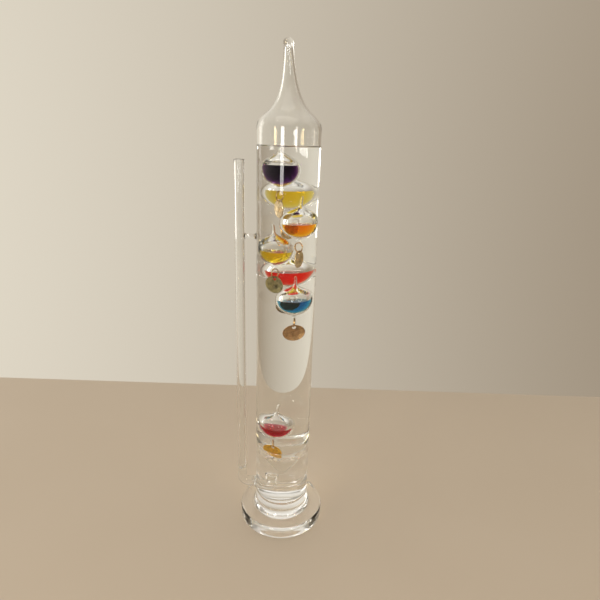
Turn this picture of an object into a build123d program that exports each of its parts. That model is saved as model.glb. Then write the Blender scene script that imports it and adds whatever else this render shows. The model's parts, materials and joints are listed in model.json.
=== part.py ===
"""A Galileo thermometer with a water barometer: a tall sealed glass column on a thick glass foot,
seven liquid-filled glass vials with brass tags in it, and an open side tube to a lower chamber."""
from build123d import *
import os
from math import cos, radians, sin

os.makedirs("parts", exist_ok=True)

# Driving dimensions, in millimetres. Z is 0 under the foot; heights below are from there.
FOOT_D = 79.4
FOOT_T = 12.0
FOOT_ROUND = 3.5

COLUMN_R = 25.0
COLUMN_WALL = 1.8
COLUMN_BORE_R = COLUMN_R - COLUMN_WALL
SHOULDER_Z = FOOT_T + 347.5
TIP_Z = FOOT_T + 410.3
FLARE_RISE = 7.5
FLARE_OUT = 5.0
CHAMBER_FLOOR_Z = FOOT_T + 9.0
CHAMBER_ROUND = 10.0

# The column is blown from three lengths of glass that are fused at these heights.
CHAMBER_SEAM_Z = FOOT_T + 84.0
TOP_SEAM_Z = SHOULDER_Z - 6.0

# The funnel is a blunt cone that points down. Its wall measured upright is its thickness times the rise.
FUNNEL_WALL = 1.8
FUNNEL_RISE = 1.95
FUNNEL_RIM_Z = FOOT_T + 72.5
FUNNEL_TIP_Z = FOOT_T + 35.5
FUNNEL_TIP_ROUND = 2.6

TUBE_R = 4.3
TUBE_BORE_R = 2.9
MOUTH_BORE_R = 3.1
MOUTH_LAND = 15.0
MOUTH_TAPER = 4.0
TUBE_X = -38.7
TUBE_TOP_Z = FOOT_T + 325.0
TUBE_LEG_Z = FOOT_T + 21.3
TUBE_BEND_R = 6.5
SPOUT_X = -6.6
SPOUT_BEND_R = 5.4
SPOUT_MOUTH_Z = FOOT_T + 34.5
TUBE_COLLAR_R = 6.6
TUBE_COLLAR_RUN = 4.0

TIE_Z = FOOT_T + 264.6
TIE_R = 1.7
TIE_FOOT_R = 3.6

LIQUID_TOP_Z = FOOT_T + 335.0
WATER_Z = FOOT_T + 60.0
SIDE_WATER_Z = FOOT_T + 36.0
CAVITY_GAP = 0.05

BULB_R = 12.3
BULB_LOW = 12.9
BULB_HIGH = 12.6
BULB_WALL = 0.75
NECK_R = 1.55
NECK_BORE_R = 0.75
STEM_R = 1.5
STEM_DOWN = 13.9

EYE_R = 1.75
EYE_WIRE_R = 0.6
EYE_DOWN = 15.2

RING_R = 3.85
RING_WIRE_R = 0.42
RING_PLAY = 0.06

TAG_R = 7.25
TAG_T = 0.8
TAG_RECESS = 0.15
TAG_RIM = 0.9
TAG_HOLE_R = 1.3
TAG_HOLE_EDGE = 1.0

# Each vial: bulb centre x, y and height above the foot's top, lean to +X in degrees, neck tip above the
# centre, liquid level above the centre, azimuth of the ring's plane, and azimuth of the tag's plane.
VIALS = {
    "purple": (-4.8, -5.8, 318.6, 0.0, 25.0, 3.4, 56.0, -72.0),
    "olive": (0.2, 10.5, 299.6, 0.0, 23.0, 2.6, 1.0, 59.0),
    "orange": (7.7, -2.3, 277.9, 1.5, 22.5, -0.7, -47.0, 79.0),
    "golden": (-7.5, -6.0, 256.4, -2.0, 22.5, -1.0, 51.0, -44.0),
    "red": (0.6, 10.1, 234.9, 0.0, 23.0, 1.0, -11.0, 36.0),
    "teal": (5.9, -3.4, 213.3, 0.5, 22.5, 0.5, -88.0, 13.0),
    "crimson": (-4.8, -2.3, 91.2, 4.0, 24.3, -1.0, 84.0, -39.0),
}


def at(r, z):
    """A point of a lathe outline, in the XZ plane."""
    return (r, 0, z)


def lathe(*edges):
    """The solid that a closed outline in the XZ plane sweeps about Z."""
    return revolve(make_face(edges), Axis.Z, 360)


def save(name, shape):
    """Writes one node."""
    export_step(shape, f"parts/{name}.step")


def round_bar(radius, z_low, z_high, x=0.0, y=0.0):
    """An upright cylinder between two heights."""
    bar = Cylinder(radius, z_high - z_low, align=(Align.CENTER, Align.CENTER, Align.MIN))
    return Pos(x, y, z_low) * bar


def foot_disc():
    """The thick clear disc that the column is fused on, with a rounded rim."""
    disc = round_bar(FOOT_D / 2, 0, FOOT_T)
    top = disc.edges().group_by(Axis.Z)[-1]
    disc = fillet(top, FOOT_ROUND)
    return fillet(disc.edges().group_by(Axis.Z)[0], FOOT_ROUND * 0.4)


def column_outside():
    """The column's outer form: flared foot, straight wall, rounded shoulder and drawn finial."""
    flare_r = COLUMN_R + FLARE_OUT
    shoulder = Spline(
        at(COLUMN_R, SHOULDER_Z),
        at(23.4, SHOULDER_Z + 6.2),
        at(17.0, SHOULDER_Z + 12.2),
        at(9.6, SHOULDER_Z + 22.8),
        at(4.7, SHOULDER_Z + 43.5),
        at(3.8, TIP_Z - 6.2),
        tangents=[(0, 0, 1), (-0.02, 0, 1)],
    )
    knob = Spline(
        at(3.8, TIP_Z - 6.2),
        at(3.95, TIP_Z - 3.0),
        at(0, TIP_Z),
        tangents=[(0.02, 0, 1), (-1, 0, 0)],
    )
    return lathe(
        Line(at(0, FOOT_T), at(flare_r, FOOT_T)),
        Spline(
            at(flare_r, FOOT_T),
            at(COLUMN_R, FOOT_T + FLARE_RISE),
            tangents=[(-1, 0, 0.12), (0, 0, 1)],
        ),
        Line(at(COLUMN_R, FOOT_T + FLARE_RISE), at(COLUMN_R, SHOULDER_Z)),
        shoulder,
        knob,
        Line(at(0, TIP_Z), at(0, FOOT_T)),
    )


def column_inside():
    """The space in the column, from the chamber's rounded floor to the finial's narrow bore."""
    shoulder = Spline(
        at(COLUMN_BORE_R, SHOULDER_Z - 0.5),
        at(21.7, SHOULDER_Z + 5.0),
        at(15.7, SHOULDER_Z + 10.8),
        at(8.2, SHOULDER_Z + 22.0),
        at(3.3, SHOULDER_Z + 43.5),
        at(2.2, TIP_Z - 7.0),
        tangents=[(0, 0, 1), (-0.05, 0, 1)],
    )
    return lathe(
        Line(at(0, CHAMBER_FLOOR_Z), at(COLUMN_BORE_R - CHAMBER_ROUND, CHAMBER_FLOOR_Z)),
        TangentArc(
            at(COLUMN_BORE_R - CHAMBER_ROUND, CHAMBER_FLOOR_Z),
            at(COLUMN_BORE_R, CHAMBER_FLOOR_Z + CHAMBER_ROUND),
            tangent=(1, 0, 0),
        ),
        Line(at(COLUMN_BORE_R, CHAMBER_FLOOR_Z + CHAMBER_ROUND), at(COLUMN_BORE_R, SHOULDER_Z - 0.5)),
        shoulder,
        Spline(at(2.2, TIP_Z - 7.0), at(0, TIP_Z - 4.5), tangents=[(-0.05, 0, 1), (-1, 0, 0)]),
        Line(at(0, TIP_Z - 4.5), at(0, CHAMBER_FLOOR_Z)),
    )


def cone_under(rim_z, tip_z, ceiling_z, tip_round):
    """The space above a blunt cone that points down, as wide as the bore, up to a ceiling."""
    slope = (rim_z - tip_z) / (COLUMN_BORE_R - tip_round)
    return lathe(
        Spline(
            at(0, tip_z),
            at(tip_round * 1.6, tip_z + tip_round * 1.6 * slope * 0.62),
            tangents=[(1, 0, 0), (1, 0, slope)],
        ),
        Line(
            at(tip_round * 1.6, tip_z + tip_round * 1.6 * slope * 0.62),
            at(COLUMN_BORE_R, rim_z),
        ),
        Line(at(COLUMN_BORE_R, rim_z), at(COLUMN_BORE_R, ceiling_z)),
        Line(at(COLUMN_BORE_R, ceiling_z), at(0, ceiling_z)),
        Line(at(0, ceiling_z), at(0, tip_z)),
    )


def funnel_under():
    """All that lies above the funnel's underside."""
    return cone_under(FUNNEL_RIM_Z, FUNNEL_TIP_Z, SHOULDER_Z, FUNNEL_TIP_ROUND)


def funnel_over(ceiling_z):
    """All that lies above the funnel's upper face, up to a ceiling."""
    rise = FUNNEL_WALL * FUNNEL_RISE
    return cone_under(FUNNEL_RIM_Z + rise, FUNNEL_TIP_Z + rise, ceiling_z, FUNNEL_TIP_ROUND)


def tube_route(top_z, mouth_z):
    """The side tube's centre line: down, across under the column's chamber wall, and up to the spout."""
    return FilletPolyline(
        at(TUBE_X, top_z),
        at(TUBE_X, TUBE_LEG_Z),
        at(SPOUT_X, TUBE_LEG_Z),
        at(SPOUT_X, mouth_z),
        radius=[TUBE_BEND_R, SPOUT_BEND_R],
    )


def along(route, radius):
    """A round rod of that radius along a route that starts straight down."""
    start = Plane(origin=route @ 0, z_dir=route % 0)
    return sweep(start * Circle(radius), path=route)


def trumpet(x_thin, x_wide, r_thin, r_wide, z):
    """A round flare along X, thin at one end and wide at the other."""
    outline = make_face(
        [
            Line((x_thin, 0, z), (x_thin, 0, z + r_thin)),
            Spline(
                (x_thin, 0, z + r_thin),
                (x_wide, 0, z + r_wide),
                tangents=[(1, 0, 0.02), (0.45, 0, 1)],
            ),
            Line((x_wide, 0, z + r_wide), (x_wide, 0, z)),
            Line((x_wide, 0, z), (x_thin, 0, z)),
        ]
    )
    return revolve(outline, Axis((0, 0, z), (1, 0, 0)), 360)


def side_tube_rod():
    """The side tube without its bore, with the flare where it meets the column."""
    collar = trumpet(
        -COLUMN_R - TUBE_COLLAR_RUN, -COLUMN_R + 0.9, TUBE_R, TUBE_COLLAR_R, TUBE_LEG_Z
    )
    collar -= round_bar(COLUMN_R, 0, SHOULDER_Z)
    return along(tube_route(TUBE_TOP_Z, SPOUT_MOUTH_Z), TUBE_R) + collar


def tube_bore():
    """The side tube's bore, a little wider where the mouth was opened in the flame."""
    land = round_bar(MOUTH_BORE_R, TUBE_TOP_Z - MOUTH_LAND, TUBE_TOP_Z, TUBE_X)
    taper = Cone(
        TUBE_BORE_R,
        MOUTH_BORE_R,
        MOUTH_TAPER,
        align=(Align.CENTER, Align.CENTER, Align.MAX),
    )
    taper = Pos(TUBE_X, 0, TUBE_TOP_Z - MOUTH_LAND) * taper
    return along(tube_route(TUBE_TOP_Z, SPOUT_MOUTH_Z), TUBE_BORE_R) + taper + land


def tie_stub():
    """The short glass bridge that steadies the side tube, flared where it meets the column."""
    middle_x = -COLUMN_R - 3.6
    bar = Pos(TUBE_X, 0, TIE_Z) * Rot(0, 90, 0) * Cylinder(
        TIE_R, middle_x - TUBE_X + 0.1, align=(Align.CENTER, Align.CENTER, Align.MIN)
    )
    stub = bar + trumpet(middle_x, -COLUMN_R + 0.5, TIE_R, TIE_FOOT_R, TIE_Z)
    stub -= round_bar(COLUMN_R, 0, SHOULDER_Z)
    return stub - round_bar(TUBE_R, TIE_Z - 20, TIE_Z + 20, TUBE_X)


def bulb_form(inset, neck_top, neck_r, stem_r, stem_down):
    """A vial's onion form about its bulb centre, grown or shrunk by the inset."""
    low = (stem_r, -BULB_LOW + inset)
    high = (neck_r, BULB_HIGH + 1.6)
    side_r = BULB_R - inset
    return lathe(
        Line(at(0, -stem_down), at(stem_r, -stem_down)),
        Line(at(stem_r, -stem_down), at(*low)),
        Spline(
            at(*low),
            at(side_r * 0.73, -BULB_LOW * 0.69 + inset * 0.8),
            at(side_r, 0),
            tangents=[(1, 0, 0.25), (0, 0, 1)],
        ),
        Spline(
            at(side_r, 0),
            at(side_r * 0.72, BULB_HIGH * 0.65 - inset * 0.8),
            at(*high),
            tangents=[(0, 0, 1), (-0.1, 0, 1)],
        ),
        Line(at(*high), at(neck_r * 0.8, neck_top - neck_r)),
        Spline(
            at(neck_r * 0.8, neck_top - neck_r),
            at(neck_r * 0.2, neck_top),
            tangents=[(-0.1, 0, 1), (-1, 0, 0)],
        ),
        Line(at(neck_r * 0.2, neck_top), at(0, neck_top)),
        Line(at(0, neck_top), at(0, -stem_down)),
    )


def vial_place(name):
    """Where a vial's bulb centre is, with its lean."""
    x, y, height, lean = VIALS[name][:4]
    return Pos(x, y, FOOT_T + height) * Rot(0, lean, 0)


def vial_outside(name, grow=0.0):
    """The vial without its cavity, as it stands in the column."""
    neck_top = VIALS[name][4] + grow
    form = bulb_form(-grow, neck_top, NECK_R + grow, STEM_R + grow, STEM_DOWN + grow)
    return vial_place(name) * form


def vial_cavity(name):
    """The space inside the vial's glass."""
    neck_top = VIALS[name][4] - 5.0
    floor = BULB_LOW - BULB_WALL - 0.4
    return vial_place(name) * bulb_form(BULB_WALL, neck_top, NECK_BORE_R, 0.5, floor)


def eye_centre(name):
    """The centre of the small glass eye under the vial."""
    return (vial_place(name) * Pos(0, 0, -EYE_DOWN)).position


def facing(azimuth):
    """Turns a torus or disc lying in XY so that it stands upright in the plane at that azimuth."""
    return Rot(0, 0, azimuth) * Rot(90, 0, 0)


def vial_eye(name, grow=0.0):
    """The glass eye under the vial, at right angles to its ring."""
    upright = facing(VIALS[name][6] + 90)
    return Pos(*eye_centre(name)) * upright * Torus(EYE_R, EYE_WIRE_R + grow)


def eye_bar(name):
    """The middle of the eye's lowest bar, which the ring hangs on."""
    return eye_centre(name) - Vector(0, 0, EYE_R)


def ring_centre(name):
    """The centre of the wire ring, which hangs on the eye's bar."""
    drop = RING_R - EYE_WIRE_R - RING_WIRE_R - RING_PLAY
    return eye_bar(name) - Vector(0, 0, drop)


def vial_ring(name, grow=0.0):
    """The brass wire ring between the eye and the tag."""
    upright = facing(VIALS[name][6])
    return Pos(*ring_centre(name)) * upright * Torus(RING_R, RING_WIRE_R + grow)


def tag_hole(name):
    """The centre of the tag's hole, whose upper edge rests on the ring's lowest point."""
    drop = RING_R - RING_WIRE_R - RING_PLAY + TAG_HOLE_R
    return ring_centre(name) - Vector(0, 0, drop)


def vial_tag(name, grow=0.0):
    """The round brass tag, with a thin raised rim on both faces and a hole for the ring."""
    disc = Cylinder(TAG_R + grow, TAG_T + 2 * grow)
    if not grow:
        for side in (-1, 1):
            disc -= Pos(0, 0, side * TAG_T / 2) * Cylinder(TAG_R - TAG_RIM, 2 * TAG_RECESS)
    hole_up = TAG_R - TAG_HOLE_EDGE - TAG_HOLE_R
    disc -= Pos(0, hole_up, 0) * Cylinder(TAG_HOLE_R - grow, 2 * TAG_T)
    return Pos(*tag_hole(name)) * facing(VIALS[name][7]) * Pos(0, -hole_up, 0) * disc


def vial_level(name):
    """The height of the liquid in a vial."""
    return FOOT_T + VIALS[name][2] + VIALS[name][5]


def main():
    bore = tube_bore()
    rod = side_tube_rod()
    inside = column_inside()
    funnel = funnel_under() - funnel_over(SHOULDER_Z)

    save("foot_disc", foot_disc())
    column = column_outside() - inside - rod
    for name, low, high in (
        ("chamber_glass", FOOT_T, CHAMBER_SEAM_Z),
        ("column_glass", CHAMBER_SEAM_Z, TOP_SEAM_Z),
        ("column_top", TOP_SEAM_Z, TIP_Z),
    ):
        save(name, column & round_bar(COLUMN_R + FLARE_OUT + 1, low, high))
    save("funnel_partition", funnel)
    save("barometer_tube", rod - bore)
    save("tube_tie", tie_stub())

    liquid = funnel_over(LIQUID_TOP_Z)
    for name in VIALS:
        for piece in (vial_outside, vial_eye, vial_ring, vial_tag):
            liquid -= piece(name, CAVITY_GAP)
    save("column_liquid", liquid)

    pool = (inside & round_bar(COLUMN_R, 0, WATER_Z)) - funnel_under() - rod
    side_pool = bore & round_bar(TUBE_R + 0.1, 0, SIDE_WATER_Z, TUBE_X)
    cross_pool = bore & Pos(0, 0, WATER_Z) * Box(
        -2 * (TUBE_X + TUBE_R), 40, 2 * WATER_Z, align=(Align.CENTER, Align.CENTER, Align.MAX)
    )
    save("barometer_water", pool + side_pool + cross_pool)

    for name in VIALS:
        glass = vial_outside(name) + vial_eye(name) - vial_cavity(name)
        level = vial_level(name)
        dye = vial_cavity(name) & round_bar(40, level - 40, level)
        save(f"{name}_vial_glass", glass)
        save(f"{name}_vial_dye", dye)
        save(f"{name}_ring", vial_ring(name))
        save(f"{name}_tag", vial_tag(name))


main()
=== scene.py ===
"""The looks of a Galileo thermometer with a water barometer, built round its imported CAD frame."""
import json
import math

import bmesh
import bpy
import numpy as np
from mathutils import Matrix, Vector

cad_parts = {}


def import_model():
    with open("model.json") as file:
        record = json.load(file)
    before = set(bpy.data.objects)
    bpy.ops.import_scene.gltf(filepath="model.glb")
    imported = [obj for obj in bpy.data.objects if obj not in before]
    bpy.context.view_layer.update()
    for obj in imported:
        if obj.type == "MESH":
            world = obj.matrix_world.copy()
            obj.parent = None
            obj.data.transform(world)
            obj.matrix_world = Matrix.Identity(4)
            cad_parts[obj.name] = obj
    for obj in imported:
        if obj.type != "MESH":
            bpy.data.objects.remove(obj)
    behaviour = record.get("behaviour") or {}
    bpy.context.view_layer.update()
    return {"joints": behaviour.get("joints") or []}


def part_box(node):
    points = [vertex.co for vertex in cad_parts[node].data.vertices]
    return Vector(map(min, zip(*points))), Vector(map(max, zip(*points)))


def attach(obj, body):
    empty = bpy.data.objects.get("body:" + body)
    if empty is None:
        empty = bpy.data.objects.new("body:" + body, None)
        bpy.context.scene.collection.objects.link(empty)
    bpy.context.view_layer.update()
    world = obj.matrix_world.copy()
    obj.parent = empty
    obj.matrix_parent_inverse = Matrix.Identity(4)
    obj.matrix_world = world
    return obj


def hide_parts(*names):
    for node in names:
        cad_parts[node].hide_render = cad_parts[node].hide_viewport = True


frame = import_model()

MM = 0.001
AROUND = 160
AROUND_VIAL = 80
AROUND_TUBE = 48
AROUND_WIRE = 16
SKIN = 0.02
SHARP = math.radians(32)

# Refractive indices of the clear materials.
GLASS_IOR = 1.5
OIL_IOR = 1.43
WATER_IOR = 1.333
DYE_IOR = 1.36


# ------------------------------------------------------------------ places from the frame, in millimetres
def box_mm(node):
    """The lowest and highest corner of a CAD node."""
    low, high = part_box(node)
    return low / MM, high / MM


def joint_named(name):
    """One of the record's joints."""
    return next(joint for joint in frame["joints"] if joint["name"] == name)


foot_low, foot_high = box_mm("foot_disc")
chamber_low, chamber_high = box_mm("chamber_glass")
top_low, top_high = box_mm("column_top")
liquid_low, liquid_high = box_mm("column_liquid")
funnel_low, funnel_high = box_mm("funnel_partition")
water_low, water_high = box_mm("barometer_water")
tube_low, tube_high = box_mm("barometer_tube")
tie_low, tie_high = box_mm("tube_tie")

FOOT_R = foot_high.x
FOOT_TOP = foot_high.z
FOOT_ROUND = 3.5
BORE_R = liquid_high.x
WALL = 1.8
COLUMN_R = BORE_R + WALL
FLARE_R = chamber_high.x
FLARE_RISE = 7.5
TIP_Z = top_high.z
SHOULDER_Z = TIP_Z - 62.8
FINIAL_LEAN = 2.0
SHOULDER_TILT = 0.022
CHAMBER_FLOOR_Z = FOOT_TOP + 9.0
CHAMBER_ROUND = 10.0

OIL_Z = liquid_high.z
MENISCUS = 1.2
MENISCUS_RUN = 1.3
MENISCUS_REACH = 7.0
WATER_Z = water_high.z
SIDE_WATER_Z = WATER_Z - 24.0

FUNNEL_WALL = 1.8
FUNNEL_RISE = FUNNEL_WALL * 1.95
FUNNEL_TIP_Z = funnel_low.z
FUNNEL_RIM_Z = funnel_high.z - FUNNEL_RISE
FUNNEL_ROUND = 2.6
FUNNEL_KNEE_R = FUNNEL_ROUND * 1.6
FUNNEL_KNEE_RISE = 0.62
WELD = 3.2

TUBE_R = 4.3
TUBE_BORE_R = 2.9
MOUTH_BORE_R = 3.1
MOUTH_LAND = 15.0
MOUTH_TAPER = 4.0
TUBE_X = tube_low.x + TUBE_R
TUBE_TOP_Z = tube_high.z
TUBE_LEG_Z = tube_low.z + TUBE_R
TUBE_BEND_R = 6.5
TUBE_RUN_X = -31.0
SPOUT_X = tube_high.x - TUBE_R
SPOUT_BEND_R = 5.4
SPOUT_MOUTH_Z = FOOT_TOP + 34.5
COLLAR_R = 6.6
COLLAR_RUN = 4.0
COLLAR_STEPS = 8
COLLAR_EASE = 2.2
TIE_R = 1.7
TIE_FOOT_R = 3.6
TIE_FOOT_RUN = 3.6
TIE_END_R = TIE_R * 1.5
TIE_END_RUN = 1.6
TIE_Z = (tie_low.z + tie_high.z) / 2
POCKET = 0.05

# How far behind the column's axis the floor ends, in metres.
FLOOR_BACK = 0.245

BULB_R = 12.3
BULB_LOW = 12.9
BULB_HIGH = 12.6
BULB_WALL = 0.75
NECK_R = 1.55
NECK_BORE_R = 0.95
NECK_SOLID = 1.6
NECK_TAPER = 0.8
NECK_HOLE_REACH = 2.0
STEM_R = 1.5
STEM_DOWN = 13.9
EYE_R = 1.75
EYE_WIRE_R = 0.6
EYE_DOWN = 15.2
RING_R = 3.85
RING_WIRE_R = 0.42
RING_PLAY = 0.06
TAG_R = 7.25
TAG_T = 0.8
TAG_RECESS = 0.15
TAG_RIM = 0.9
TAG_HOLE_R = 1.3
TAG_HOLE_EDGE = 1.0
NUMERAL_SIZE = 6.6
NUMERAL_RISE = 0.14
NUMERAL_DROP = 1.3

# Each vial: lean to +X in degrees, neck tip above the bulb's centre, how far the neck's end bends and the
# azimuth it bends to, the azimuth of the tag's plane, the number on the tag, what is left of red, green and
# blue light after 20 mm of its dye, and its tag's brass colour with painted reflection and shade in it:
# each tag is painted lighter or darker after the surroundings it reflects.
VIALS = {
    "purple": (0.0, 25.0, 0.5, 200, -72.0, "30", (0.010, 0.0005, 0.020), (0.86, 0.68, 0.42)),
    "olive": (0.0, 23.0, 0.6, 40, 59.0, "28", (0.95, 0.68, 0.05), (0.90, 0.72, 0.42)),
    "orange": (1.5, 22.5, 0.8, 20, 79.0, "26", (0.99, 0.25, 0.0005), (0.78, 0.60, 0.32)),
    "golden": (-2.0, 22.5, 0.9, 170, -44.0, "24", (0.94, 0.57, 0.004), (0.30, 0.26, 0.12)),
    "red": (0.0, 23.0, 0.5, 300, 36.0, "22", (0.92, 0.006, 0.002), (0.34, 0.24, 0.11)),
    "teal": (0.5, 22.5, 1.0, 140, 13.0, "20", (0.0, 0.10, 0.34), (0.40, 0.23, 0.10)),
    "crimson": (4.0, 24.3, 1.2, 0, -39.0, "18", (0.42, 0.0005, 0.004), (0.82, 0.46, 0.05)),
}
DYE_PATH = 0.02


# ------------------------------------------------------------------ outlines
def smooth(points, start, end, steps):
    """Points along a clamped cubic spline through the given ones, the first left out."""
    through = np.array(points, float)
    run = np.linalg.norm(np.diff(through, axis=0), axis=1)
    count = len(through)
    system = np.zeros((count, count))
    wanted = np.zeros((count, 2))
    system[0, 0] = system[-1, -1] = 1
    wanted[0] = np.array(start) / np.linalg.norm(start)
    wanted[-1] = np.array(end) / np.linalg.norm(end)
    for i in range(1, count - 1):
        before, after = run[i - 1], run[i]
        system[i, i - 1 : i + 2] = after, 2 * (before + after), before
        rise_before = (through[i] - through[i - 1]) / before
        rise_after = (through[i + 1] - through[i]) / after
        wanted[i] = 3 * (after * rise_before + before * rise_after)
    slope = np.linalg.solve(system, wanted)
    made = []
    for i in range(count - 1):
        pieces = max(2, round(steps * run[i] / run.sum()))
        for t in np.linspace(0, 1, pieces + 1)[1:]:
            a, b = 2 * t**3 - 3 * t**2 + 1, t**3 - 2 * t**2 + t
            place = a * through[i] + b * run[i] * slope[i]
            place += (1 - a) * through[i + 1] + (t**3 - t**2) * run[i] * slope[i + 1]
            made.append(tuple(place))
    return made


class Outline:
    """Half a section of a turned piece: points (r, z), and what each stretch between them borders on."""

    def __init__(self, r, z):
        self.points = [(r, z)]
        self.kinds = []

    def to(self, kind, *points):
        """Straight stretches to more points."""
        for point in points:
            self.points.append(point)
            self.kinds.append(kind)
        return self

    def curve(self, kind, start, end, steps, *through):
        """A smooth stretch through more points, from one direction to another."""
        return self.to(kind, *smooth([self.points[-1], *through], start, end, steps))

    def arc(self, kind, centre, radius, first, last, steps=12):
        """A round stretch between two angles in degrees, from the +r direction."""
        for angle in np.linspace(math.radians(first), math.radians(last), steps + 1):
            point = (centre[0] + radius * math.cos(angle), centre[1] + radius * math.sin(angle))
            if math.dist(point, self.points[-1]) > 1e-6:
                self.to(kind, point)
        return self

    def back(self):
        """The same outline from its end to its start."""
        turned_round = Outline(*self.points[-1])
        for point, kind in zip(self.points[-2::-1], self.kinds[::-1]):
            turned_round.to(kind, point)
        return turned_round

    def then(self, other):
        """This outline followed by one that starts where it ends."""
        for point, kind in zip(other.points[1:], other.kinds):
            self.to(kind, point)
        return self

    def split(self, z, above):
        """Stretches above z, with a new point at z, border on something else."""
        halves = Outline(*self.points[0])
        for (r0, z0), (r1, z1), kind in zip(self.points, self.points[1:], self.kinds):
            if (z0 - z) * (z1 - z) < 0:
                share = (z - z0) / (z1 - z0)
                halves.to(kind if z0 < z else above, (r0 + share * (r1 - r0), z))
            halves.to(above if (z0 + z1) / 2 > z or (z0 == z and z1 > z) else kind, (r1, z1))
            if (z0 - z) * (z1 - z) < 0:
                halves.kinds[-1] = above if z1 > z else kind
        return halves


# ------------------------------------------------------------------ materials
def new_material(name):
    """An empty node material with its output node."""
    material = bpy.data.materials.new(name)
    material.use_nodes = True
    material.node_tree.nodes.clear()
    out = material.node_tree.nodes.new("ShaderNodeOutputMaterial")
    return material, material.node_tree, out


def node(tree, kind, **sockets):
    """A new node with some of its sockets or properties set."""
    made = tree.nodes.new("ShaderNode" + kind)
    for key, value in sockets.items():
        label = key.replace("_", " ")
        if label in made.inputs:
            made.inputs[label].default_value = value
        else:
            setattr(made, key, value)
    return made


def noise(tree, scale, detail=2.0, roughness=0.5, stretch=(1, 1, 1)):
    """A noise texture in the object's own space, scale being per metre."""
    place = node(tree, "TexCoord")
    mapping = node(tree, "Mapping", Scale=stretch)
    texture = node(tree, "TexNoise", Scale=scale, Detail=detail, Roughness=roughness)
    tree.links.new(place.outputs["Object"], mapping.inputs["Vector"])
    tree.links.new(mapping.outputs["Vector"], texture.inputs["Vector"])
    return texture.outputs["Fac"]


def ramp(tree, source, low, high, from_low=0.0, from_high=1.0):
    """A number that goes from low to high as the source does."""
    made = node(tree, "MapRange")
    for key, value in (
        ("From Min", from_low),
        ("From Max", from_high),
        ("To Min", low),
        ("To Max", high),
    ):
        made.inputs[key].default_value = value
    tree.links.new(source, made.inputs["Value"])
    return made.outputs["Result"]


def bump(tree, source, distance, strength=1.0):
    """A bump from a height source, distance in metres."""
    made = node(tree, "Bump", Strength=strength, Distance=distance)
    tree.links.new(source, made.inputs["Height"])
    return made.outputs["Normal"]


def lamplight_through(tree, out, shader, tint):
    """Lets the lamps' light through a clear surface, so that what it holds isn't in its shadow."""
    path = node(tree, "LightPath")
    clear = node(tree, "BsdfTransparent", Color=(*tint, 1))
    mix = node(tree, "MixShader")
    tree.links.new(path.outputs["Is Shadow Ray"], mix.inputs["Fac"])
    tree.links.new(shader.outputs[0], mix.inputs[1])
    tree.links.new(clear.outputs[0], mix.inputs[2])
    tree.links.new(mix.outputs[0], out.inputs["Surface"])


def glass(name, ior, tint, wave, smudge):
    """Blown clear glass: slow waves in its surface and, where it can be touched, faint smudges."""
    material, tree, out = new_material(name)
    shader = node(tree, "BsdfPrincipled", IOR=ior, Roughness=0.0, Metallic=0.0)
    shader.inputs["Transmission Weight"].default_value = 1.0
    shader.inputs["Base Color"].default_value = (*tint, 1)
    if wave:
        slow = noise(tree, 55, 1.5, 0.4, (1, 1, 0.35))
        tree.links.new(bump(tree, slow, wave), shader.inputs["Normal"])
    if smudge:
        patches = noise(tree, 90, 4.0, 0.65)
        tree.links.new(ramp(tree, patches, 0.0, smudge, 0.56, 0.8), shader.inputs["Roughness"])
    lamplight_through(tree, out, shader, (0.97, 0.97, 0.965))
    return material


def neutral(name):
    """Where two pieces of one clear material meet, or a liquid lies against its glass: nothing shows."""
    material, tree, out = new_material(name)
    clear = node(tree, "BsdfTransparent", Color=(1, 1, 1, 1))
    tree.links.new(clear.outputs[0], out.inputs["Surface"])
    return material


def dye(name, left_of_light):
    """A dyed liquid, darker where light crosses more of it. Only its open face bends light."""
    material, tree, out = new_material(name)
    open_face = node(tree, "BsdfPrincipled", IOR=DYE_IOR, Roughness=0.0)
    open_face.inputs["Transmission Weight"].default_value = 1.0
    open_face.inputs["Base Color"].default_value = (1, 1, 1, 1)
    film = noise(tree, 400, 2.0)
    tree.links.new(bump(tree, film, 0.000004), open_face.inputs["Normal"])
    clear = node(tree, "BsdfTransparent", Color=(1, 1, 1, 1))
    where = node(tree, "Attribute", attribute_name="open_face")
    path = node(tree, "LightPath")
    lit = node(tree, "Math", operation="SUBTRACT")
    both = node(tree, "Math", operation="MULTIPLY")
    mix = node(tree, "MixShader")
    lit.inputs[0].default_value = 1.0
    tree.links.new(path.outputs["Is Shadow Ray"], lit.inputs[1])
    tree.links.new(where.outputs["Fac"], both.inputs[0])
    tree.links.new(lit.outputs[0], both.inputs[1])
    tree.links.new(both.outputs[0], mix.inputs["Fac"])
    tree.links.new(clear.outputs[0], mix.inputs[1])
    tree.links.new(open_face.outputs[0], mix.inputs[2])
    tree.links.new(mix.outputs[0], out.inputs["Surface"])
    lost = [-math.log(max(share, 0.0005)) / DYE_PATH for share in left_of_light]
    density = max(lost) * 1.001
    body = node(tree, "VolumeAbsorption", Density=density)
    body.inputs["Color"].default_value = (*[1 - each / density for each in lost], 1)
    tree.links.new(body.outputs[0], out.inputs["Volume"])
    return material


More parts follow.
